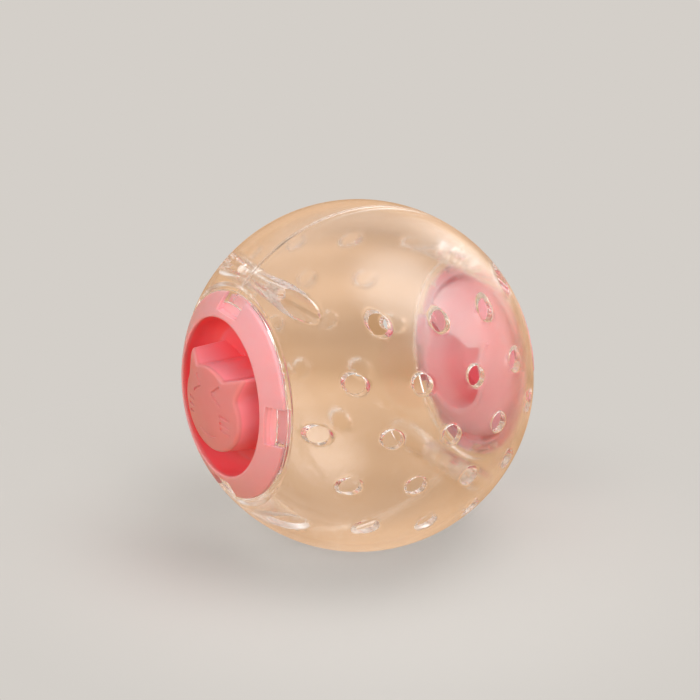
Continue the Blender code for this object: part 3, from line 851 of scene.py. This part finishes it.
def moulded_surface():
    group = bpy.data.node_groups.new("moulded surface", "ShaderNodeTree")
    for name, default in (("Ripple Scale", 60.0), ("Mark Scale", 90.0)):
        socket = group.interface.new_socket(name, in_out="INPUT", socket_type="NodeSocketFloat")
        socket.default_value = default
    for name in ("Ripple", "Marks"):
        group.interface.new_socket(name, in_out="OUTPUT", socket_type="NodeSocketFloat")
    source = add_node(group, "NodeGroupInput")
    target = add_node(group, "NodeGroupOutput")
    place = object_place(group)
    ripple = add_node(group, "ShaderNodeTexNoise")
    ripple.inputs["Detail"].default_value = 1.0
    marks = add_node(group, "ShaderNodeTexNoise")
    marks.inputs["Detail"].default_value = 4.0
    for texture, scale in ((ripple, "Ripple Scale"), (marks, "Mark Scale")):
        group.links.new(place, texture.inputs["Vector"])
        group.links.new(source.outputs[scale], texture.inputs["Scale"])
    spread = share_between(group, marks.outputs["Fac"], MARKS_FROM, MARKS_TO)
    group.links.new(ripple.outputs["Fac"], target.inputs["Ripple"])
    group.links.new(spread, target.inputs["Marks"])
    return group


SURFACE = moulded_surface()


def plastic(name, ripple_scale, mark_scale, smooth, marked, ripple_height):
    """A material whose gloss and relief come from the moulded surface."""
    material = bpy.data.materials.new(name)
    material.use_nodes = True
    tree = material.node_tree
    shader = tree.nodes["Principled BSDF"]
    surface = add_node(tree, "ShaderNodeGroup", node_tree=SURFACE)
    surface.inputs["Ripple Scale"].default_value = ripple_scale
    surface.inputs["Mark Scale"].default_value = mark_scale
    gloss = add_node(tree, "ShaderNodeMapRange")
    gloss.inputs["To Min"].default_value = smooth
    gloss.inputs["To Max"].default_value = marked
    relief = add_node(tree, "ShaderNodeBump")
    relief.inputs["Strength"].default_value = 1.0
    relief.inputs["Distance"].default_value = ripple_height
    tree.links.new(surface.outputs["Marks"], gloss.inputs["Value"])
    tree.links.new(gloss.outputs["Result"], shader.inputs["Roughness"])
    tree.links.new(surface.outputs["Ripple"], relief.inputs["Height"])
    tree.links.new(relief.outputs["Normal"], shader.inputs["Normal"])
    return material, tree, shader


print("shared effect:", SURFACE.name)

# %% [markdown]
# ## Clear shell and pins
# The halves are moulded in a nearly clear plastic. It is not quite polished, which blurs the far side a
# little. Glass in a path tracer keeps lamp light out of the ball, since a shadow ray can't bend. So rays to
# the lamps meet a tinted, see-through surface instead, and the inside is lit as it is in a real clear ball.
# The tubes come out of the mould less polished still, so the wall grows rougher around their four axes.
# The pins stay smooth: rough ones inside the tubes would swallow the light and turn grey.

# %% Clear plastics
SHELL_TINT = (1.0, 0.985, 0.965)
LAMP_TINT = (0.98, 0.975, 0.97)
TUBE_TINT = (1.0, 0.99, 0.98)
TUBE_ROUGHNESS = 0.15
FROST_OUTER = TUBE_MOUTH_RADIUS + 0.0006
FROST_INNER = TUBE_MOUTH_RADIUS + 0.0001
PIN_TINT = (1.0, 0.99, 0.98)
CLEAR_IOR = 1.49


def clear_plastic(name, tint, smooth, marked, ripple_height):
    material, tree, shader = plastic(name, ripple_scale=45.0, mark_scale=120.0, smooth=smooth,
                                     marked=marked, ripple_height=ripple_height)
    shader.inputs["Base Color"].default_value = (*tint, 1.0)
    shader.inputs["Transmission Weight"].default_value = 1.0
    shader.inputs["IOR"].default_value = CLEAR_IOR
    lamp_rays = add_node(tree, "ShaderNodeLightPath")
    see_through = add_node(tree, "ShaderNodeBsdfTransparent")
    see_through.inputs["Color"].default_value = (*LAMP_TINT, 1.0)
    mix = add_node(tree, "ShaderNodeMixShader")
    tree.links.new(lamp_rays.outputs["Is Shadow Ray"], mix.inputs["Fac"])
    tree.links.new(shader.outputs["BSDF"], mix.inputs[1])
    tree.links.new(see_through.outputs["BSDF"], mix.inputs[2])
    tree.links.new(mix.outputs["Shader"], tree.nodes["Material Output"].inputs["Surface"])
    return material


def frost_tubes(material):
    """Roughen and pale a clear plastic around the four tube axes, which lie alike on all four sides."""
    tree = material.node_tree
    shader = tree.nodes["Principled BSDF"]
    tint = tuple(shader.inputs["Base Color"].default_value)[:3]
    polished = shader.inputs["Roughness"].links[0].from_socket
    folded = moved(tree, "ABSOLUTE", object_place(tree))
    aside = moved(tree, "SUBTRACT", folded, (tube_x, 0.0, tube_z))
    away = length_of(tree, moved(tree, "MULTIPLY", aside, (1.0, 0.0, 1.0)))
    frost = share_between(tree, away, FROST_OUTER, FROST_INNER)
    rough = add_node(tree, "ShaderNodeMath", operation="MULTIPLY")
    rough.inputs[1].default_value = TUBE_ROUGHNESS
    tree.links.new(frost, rough.inputs[0])
    rougher = joined(tree, "MAXIMUM", polished, rough.outputs["Value"])
    tree.links.new(rougher, shader.inputs["Roughness"])
    tree.links.new(mixed(tree, frost, tint, TUBE_TINT), shader.inputs["Base Color"])


CLEAR_SHELL = clear_plastic("clear amber shell", SHELL_TINT, smooth=0.07, marked=0.13,
                            ripple_height=0.000020)
frost_tubes(CLEAR_SHELL)
CLEAR_PIN = clear_plastic("clear pin", PIN_TINT, smooth=0.02, marked=0.06, ripple_height=0.000010)
print("clear plastics:", CLEAR_SHELL.name, CLEAR_PIN.name)

# %% [markdown]
# ## Pink plastic
# The doors are satin pink, one plastic throughout, and their colours paint light and shade into it. Light
# in a deep bowl bounces between its walls and comes out redder, so the bowl's wall and the foot of the grip
# are mixed towards red as painted bounced light. The face is mixed towards a darker salmon as painted
# shade, since it is lit less than the ring, and the grip's sides towards a paler pink as painted bounced
# light. The back is painted paler, standing in for light and a pale veil on the far door, and red again in
# the hollow behind the grip as painted shade. Only the mesh can tell the bowl's front from its back, so
# each point first looks out of the ball, along the door axis and straight up from the centre, and the
# answer is kept as an attribute that the material reads.

# %% Pink door
RING_PINK = (0.785, 0.362, 0.382)
# Painted light: the back's paler pink stands in for light and a pale veil on the far door's shaded back.
BACK_PAINTED_LIGHT_PINK = (0.985, 0.430, 0.450)
# Painted shade: the face's darker salmon stands in for the shade of a face lit less than the ring.
FACE_PAINTED_SHADE_PINK = (0.690, 0.250, 0.250)
# Painted light: the grip's sides get a paler pink, standing in for light bounced onto them.
SIDE_PAINTED_LIGHT_PINK = (0.860, 0.280, 0.315)
BOWL_RED = (0.940, 0.122, 0.140)
# Painted shade: the deep red stands in for shade and bounced light in the hollow behind the grip.
HOLLOW_PAINTED_SHADE_RED = (0.950, 0.220, 0.265)
LOOK_OUT = 0.0001
FACE_FADE = (0.0002, 0.0009)
SIDE_FADE = (0.0008, 0.0018)
RIM_FADE = (0.0006, 0.0022)
BACK_PAINTED_LIGHT_FADE = (0.0008, 0.0014)
WALL_FADE = (0.0050, 0.0030)
FOOT_START = 0.0022
HOLLOW_SHADE_WIDTH_FADE = (0.0050, 0.0030)
HOLLOW_SHADE_RISE_FADE = (0.0060, 0.0130)


def mark_bowl(obj):
    """Mark each point inside the bowl's rim that sees out of the ball."""
    bm = bmesh.new()
    bm.from_mesh(obj.data)
    bm.normal_update()
    tree = BVHTree.FromBMesh(bm)
    mark = obj.data.attributes.new("bowl", "FLOAT", "POINT")
    for vert in bm.verts:
        start = vert.co + LOOK_OUT * vert.normal
        looks = (Z_AXIS, vert.co.normalized())
        sees_out = any(tree.ray_cast(start, look)[0] is None for look in looks)
        inside = vert.co.xy.length < DISH_RIM
        mark.data[vert.index].value = float(inside and sees_out)
    bm.free()


def depths(surface, fade):
    """The distances at which a change starts and ends, given as depths below a surface."""
    return [surface - depth for depth in fade]


def pink_plastic():
    material, tree, shader = plastic("pink door", ripple_scale=900.0, mark_scale=160.0, smooth=0.34,
                                     marked=0.46, ripple_height=0.000012)
    place = object_place(tree)
    from_centre = length_of(tree, place)
    from_axis = length_of(tree, moved(tree, "MULTIPLY", place, (0.0, 1.0, 1.0)))
    on_face = share_between(tree, from_centre, *depths(BALL_RADIUS, FACE_FADE))
    on_side = share_between(tree, from_centre, *depths(FACE_RADIUS, SIDE_FADE))
    at_foot = share_between(tree, from_centre, FACE_RADIUS - FOOT_START, BOWL_FLOOR)
    at_wall = share_between(tree, from_axis, *depths(BOWL_RADIUS, WALL_FADE))
    below_rim = share_between(tree, from_centre, *depths(BALL_RADIUS, RIM_FADE))
    red = joined(tree, "MAXIMUM", at_foot, joined(tree, "MULTIPLY", at_wall, below_rim))
    # Painted shade on the face, painted bounced light on the grip's sides.
    head = mixed(tree, on_side, FACE_PAINTED_SHADE_PINK, SIDE_PAINTED_LIGHT_PINK)
    front = mixed(tree, red, mixed(tree, on_face, RING_PINK, head), BOWL_RED)
    # Painted light on the back, painted shade in the hollow behind the grip.
    under_ring = share_between(tree, from_centre, *depths(BALL_RADIUS, BACK_PAINTED_LIGHT_FADE))
    near_axis = share_between(tree, from_axis, *(HEAD_WIDTH + width for width in HOLLOW_SHADE_WIDTH_FADE))
    risen = share_between(tree, from_centre, *(BOWL_FLOOR + rise for rise in HOLLOW_SHADE_RISE_FADE))
    hollow_painted_shade = joined(tree, "MULTIPLY", near_axis, risen)
    back = mixed(tree, hollow_painted_shade, mixed(tree, under_ring, RING_PINK, BACK_PAINTED_LIGHT_PINK), HOLLOW_PAINTED_SHADE_RED)
    bowl = add_node(tree, "ShaderNodeAttribute", attribute_name="bowl")
    colour = mixed(tree, bowl.outputs["Fac"], back, front)
    tree.links.new(colour, shader.inputs["Base Color"])
    shader.inputs["IOR"].default_value = 1.46
    shader.inputs["Subsurface Weight"].default_value = 0.8
    shader.inputs["Subsurface Scale"].default_value = 0.004
    shader.inputs["Subsurface Radius"].default_value = (1.0, 0.35, 0.30)
    return material


mark_bowl(door)
PINK_DOOR = pink_plastic()
print("door colours from ring to bowl:", RING_PINK, FACE_PAINTED_SHADE_PINK, BOWL_RED)

# %% [markdown]
# ## Setting the pieces on their bodies
# The door was drawn once, so its twin is a copy turned to the other end. Every place goes into the mesh.

# %% Finished pieces
SMOOTH_ANGLE = math.radians(32.0)


def finished(obj, name, body, node, material):
    """A finished piece: smooth, named, riding on its body and standing for its solid."""
    obj.name = obj.data.name = name
    obj.data.materials.clear()
    obj.data.materials.append(material)
    obj.data.shade_smooth()
    obj.data.set_sharp_from_angle(angle=SMOOTH_ANGLE)
    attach(obj, body)
    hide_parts(node)
    print(name, "triangles:", sum(len(face.vertices) - 2 for face in obj.data.polygons))


right = copy_of(door)
door.data.transform(LEFT_DOOR)
right.data.transform(RIGHT_DOOR)
finished(front_shell, "front_shell", "ball", "front_half_shell", CLEAR_SHELL)
finished(rear_shell, "rear_shell", "ball", "rear_half_shell", CLEAR_SHELL)
finished(door, "pink_door_left", "left_door", "left_door", PINK_DOOR)
finished(right, "pink_door_right", "right_door", "right_door", PINK_DOOR)
for corner, pin in pins.items():
    finished(pin, "split_pin_" + corner, "ball", "snap_pin_" + corner, CLEAR_PIN)

# %% [markdown]
# ## Floor and backdrop
# The picture has one even, pale grey behind the ball. The floor is a plain matt disc under the ball, so
# that it keeps the shadow, and fades outwards into that same grey for the camera's own rays. In the clear
# wall the photograph shows a warm ground in soft patches and a pale ceiling, so rays that come through the
# plastic or off it meet those colours instead. Rays that a matt face sends on meet a warm floor as well,
# since the pink doors take on its colour.

# %% Floor
BACKDROP = (0.658, 0.624, 0.584)
GROUND_DARK = (0.500, 0.285, 0.145)
GROUND_PALE = (0.840, 0.540, 0.330)
CEILING = (1.0, 0.97, 0.94)
CEILING_RISE = (0.15, 0.75)
PATCH_SCALE = 9.0
PATCH_RANGE = (0.30, 0.70)
FLOOR_LIT = 0.90
FLOOR_SIZE = 4.0
SHADOW_INNER = 0.06
SHADOW_OUTER = 0.16


def ray_masks(tree):
    """Masks of camera rays, and of rays that reach the camera by way of clear or shiny faces alone."""
    path = add_node(tree, "ShaderNodeLightPath")
    either = joined(tree, "MAXIMUM", path.outputs["Is Glossy Ray"], path.outputs["Is Transmission Ray"])
    direct = add_node(tree, "ShaderNodeMath", operation="LESS_THAN")
    direct.inputs[1].default_value = 0.5
    tree.links.new(path.outputs["Diffuse Depth"], direct.inputs[0])
    return path.outputs["Is Camera Ray"], joined(tree, "MULTIPLY", either, direct.outputs["Value"])


def floor_material():
    material = bpy.data.materials.new("pale floor")
    material.use_nodes = True
    tree = material.node_tree
    shader = tree.nodes["Principled BSDF"]
    shader.inputs["Roughness"].default_value = 0.9
    shader.inputs["Specular IOR Level"].default_value = 0.0
    place = object_place(tree)
    patches = add_node(tree, "ShaderNodeTexNoise")
    patches.inputs["Scale"].default_value = PATCH_SCALE
    patches.inputs["Detail"].default_value = 2.0
    tree.links.new(place, patches.inputs["Vector"])
    pale = share_between(tree, patches.outputs["Fac"], *PATCH_RANGE)
    ground = mixed(tree, pale, GROUND_DARK, GROUND_PALE)
    camera_rays, shown_rays = ray_masks(tree)
    matt_rays = add_node(tree, "ShaderNodeLightPath").outputs["Is Diffuse Ray"]
    floor_grey = tuple(FLOOR_LIT * value for value in BACKDROP)
    tree.links.new(mixed(tree, matt_rays, floor_grey, GROUND_DARK), shader.inputs["Base Color"])
    far = share_between(tree, length_of(tree, place), SHADOW_INNER, SHADOW_OUTER)
    faded = joined(tree, "MULTIPLY", camera_rays, far)
    glow = add_node(tree, "ShaderNodeEmission")
    mix = add_node(tree, "ShaderNodeMixShader")
    tree.links.new(mixed(tree, shown_rays, BACKDROP, ground), glow.inputs["Color"])
    tree.links.new(joined(tree, "MAXIMUM", faded, shown_rays), mix.inputs["Fac"])
    tree.links.new(shader.outputs["BSDF"], mix.inputs[1])
    tree.links.new(glow.outputs["Emission"], mix.inputs[2])
    tree.links.new(mix.outputs["Shader"], tree.nodes["Material Output"].inputs["Surface"])
    return material


floor_bm = bmesh.new()
bmesh.ops.create_circle(floor_bm, cap_ends=True, segments=96, radius=FLOOR_SIZE)
floor = working(floor_bm, "floor")
floor.location.z = cad_low.z
floor.data.materials.append(floor_material())
print("floor at:", round(floor.location.z, 4))

# %% World
WORLD_LIGHT = 0.55
world = bpy.data.worlds.new("studio")
world.use_nodes = True
bpy.context.scene.world = world
sky = world.node_tree
background = sky.nodes["Background"]
camera_rays, shown_rays = ray_masks(sky)
lit = mixed(sky, camera_rays, (WORLD_LIGHT, WORLD_LIGHT, WORLD_LIGHT), BACKDROP)
direction = add_node(sky, "ShaderNodeSeparateXYZ")
sky.links.new(add_node(sky, "ShaderNodeTexCoord").outputs["Generated"], direction.inputs["Vector"])
overhead = share_between(sky, direction.outputs["Z"], *CEILING_RISE)
room = mixed(sky, overhead, GROUND_PALE, CEILING)
sky.links.new(mixed(sky, shown_rays, lit, room), background.inputs["Color"])
print("backdrop:", BACKDROP)

# %% [markdown]
# ## Lamps
# A large soft box above lights the ball, and one behind on the right lifts its far edge. Two more, on the
# left and in front, shine into the near door and aren't mirrored in the wall. A white card on the right is
# mirrored and lights nothing: it makes the pale veil over the far door. A hard square in the wall would
# look like a window, so each of them is a disc that fades to its edge.

# %% Lamps
LAMP_RIM = 0.5
LAMP_CORE = 0.1

# Each lamp has its place, its size in metres, its power in watts, whether it lights matt faces, and
# whether it is mirrored in the plastic.
LAMPS = {
    "soft box above": ((0.24, -0.28, 0.95), 1.40, 13.0, True, True),
    "soft box behind": ((0.95, 0.45, 0.40), 1.10, 2.0, True, True),
    "soft box left": ((-0.85, -0.45, 0.50), 0.70, 11.5, True, False),
    "soft box front": ((-0.20, -1.00, 0.40), 0.80, 8.0, True, False),
    "white card right": ((0.60, -0.64, 0.50), 1.50, 9.0, False, True),
}


def soft_edge(lamp):
    """Let a disc of light fade from its middle to its rim."""
    lamp.use_nodes = True
    tree = lamp.node_tree
    place = add_node(tree, "ShaderNodeNewGeometry").outputs["Parametric"]
    away = length_of(tree, moved(tree, "SUBTRACT", place, (0.5, 0.5, 0.0)))
    fade = share_between(tree, away, LAMP_RIM, LAMP_CORE)
    tree.links.new(fade, tree.nodes["Emission"].inputs["Strength"])


for name, (place, size, power, lights, is_mirrored) in LAMPS.items():
    lamp = bpy.data.lights.new(name, "AREA")
    lamp.shape = "DISK"
    lamp.size = size
    lamp.energy = power
    soft_edge(lamp)
    lamp_object = bpy.data.objects.new(name, lamp)
    lamp_object.location = place
    lamp_object.visible_diffuse = lights
    lamp_object.visible_glossy = is_mirrored
    lamp_object.visible_transmission = is_mirrored
    lamp_object.rotation_euler = (-Vector(place)).to_track_quat("-Z", "Y").to_euler()
    bpy.context.scene.collection.objects.link(lamp_object)
print("lamps:", list(LAMPS))

# %% [markdown]
# ## Camera
# The photograph looks down on the ball from the front left with a long lens. The three directions below
# are the picture's right, its up and the way back to the lens. The clear rims guide light round inside
# the wall, so a ray may bounce many times before it is cut off; with few bounces they would turn black.

# %% Camera
LENS_DISTANCE = 0.96
BOUNCES = 48
PICTURE_RIGHT = Vector((0.8571, -0.5123, 0.0541))
PICTURE_UP = Vector((0.1330, 0.3215, 0.9375))
PICTURE_BACK = Vector((-0.4976, -0.7964, 0.3437))
lens = bpy.data.cameras.new("camera")
lens.sensor_width = 36.0
lens.lens = 144.9
lens.shift_x = -0.0114
lens.shift_y = 0.0363
camera = bpy.data.objects.new("camera", lens)
turn = Matrix((PICTURE_RIGHT, PICTURE_UP, PICTURE_BACK)).transposed()
camera.matrix_world = Matrix.Translation(LENS_DISTANCE * PICTURE_BACK) @ turn.to_4x4()
bpy.context.scene.collection.objects.link(camera)
bpy.context.scene.camera = camera
for bounces in ("max_bounces", "transmission_bounces", "glossy_bounces"):
    setattr(bpy.context.scene.cycles, bounces, BOUNCES)
bpy.context.scene.view_settings.view_transform = "Standard"
print("camera at:", [round(value, 3) for value in camera.location])
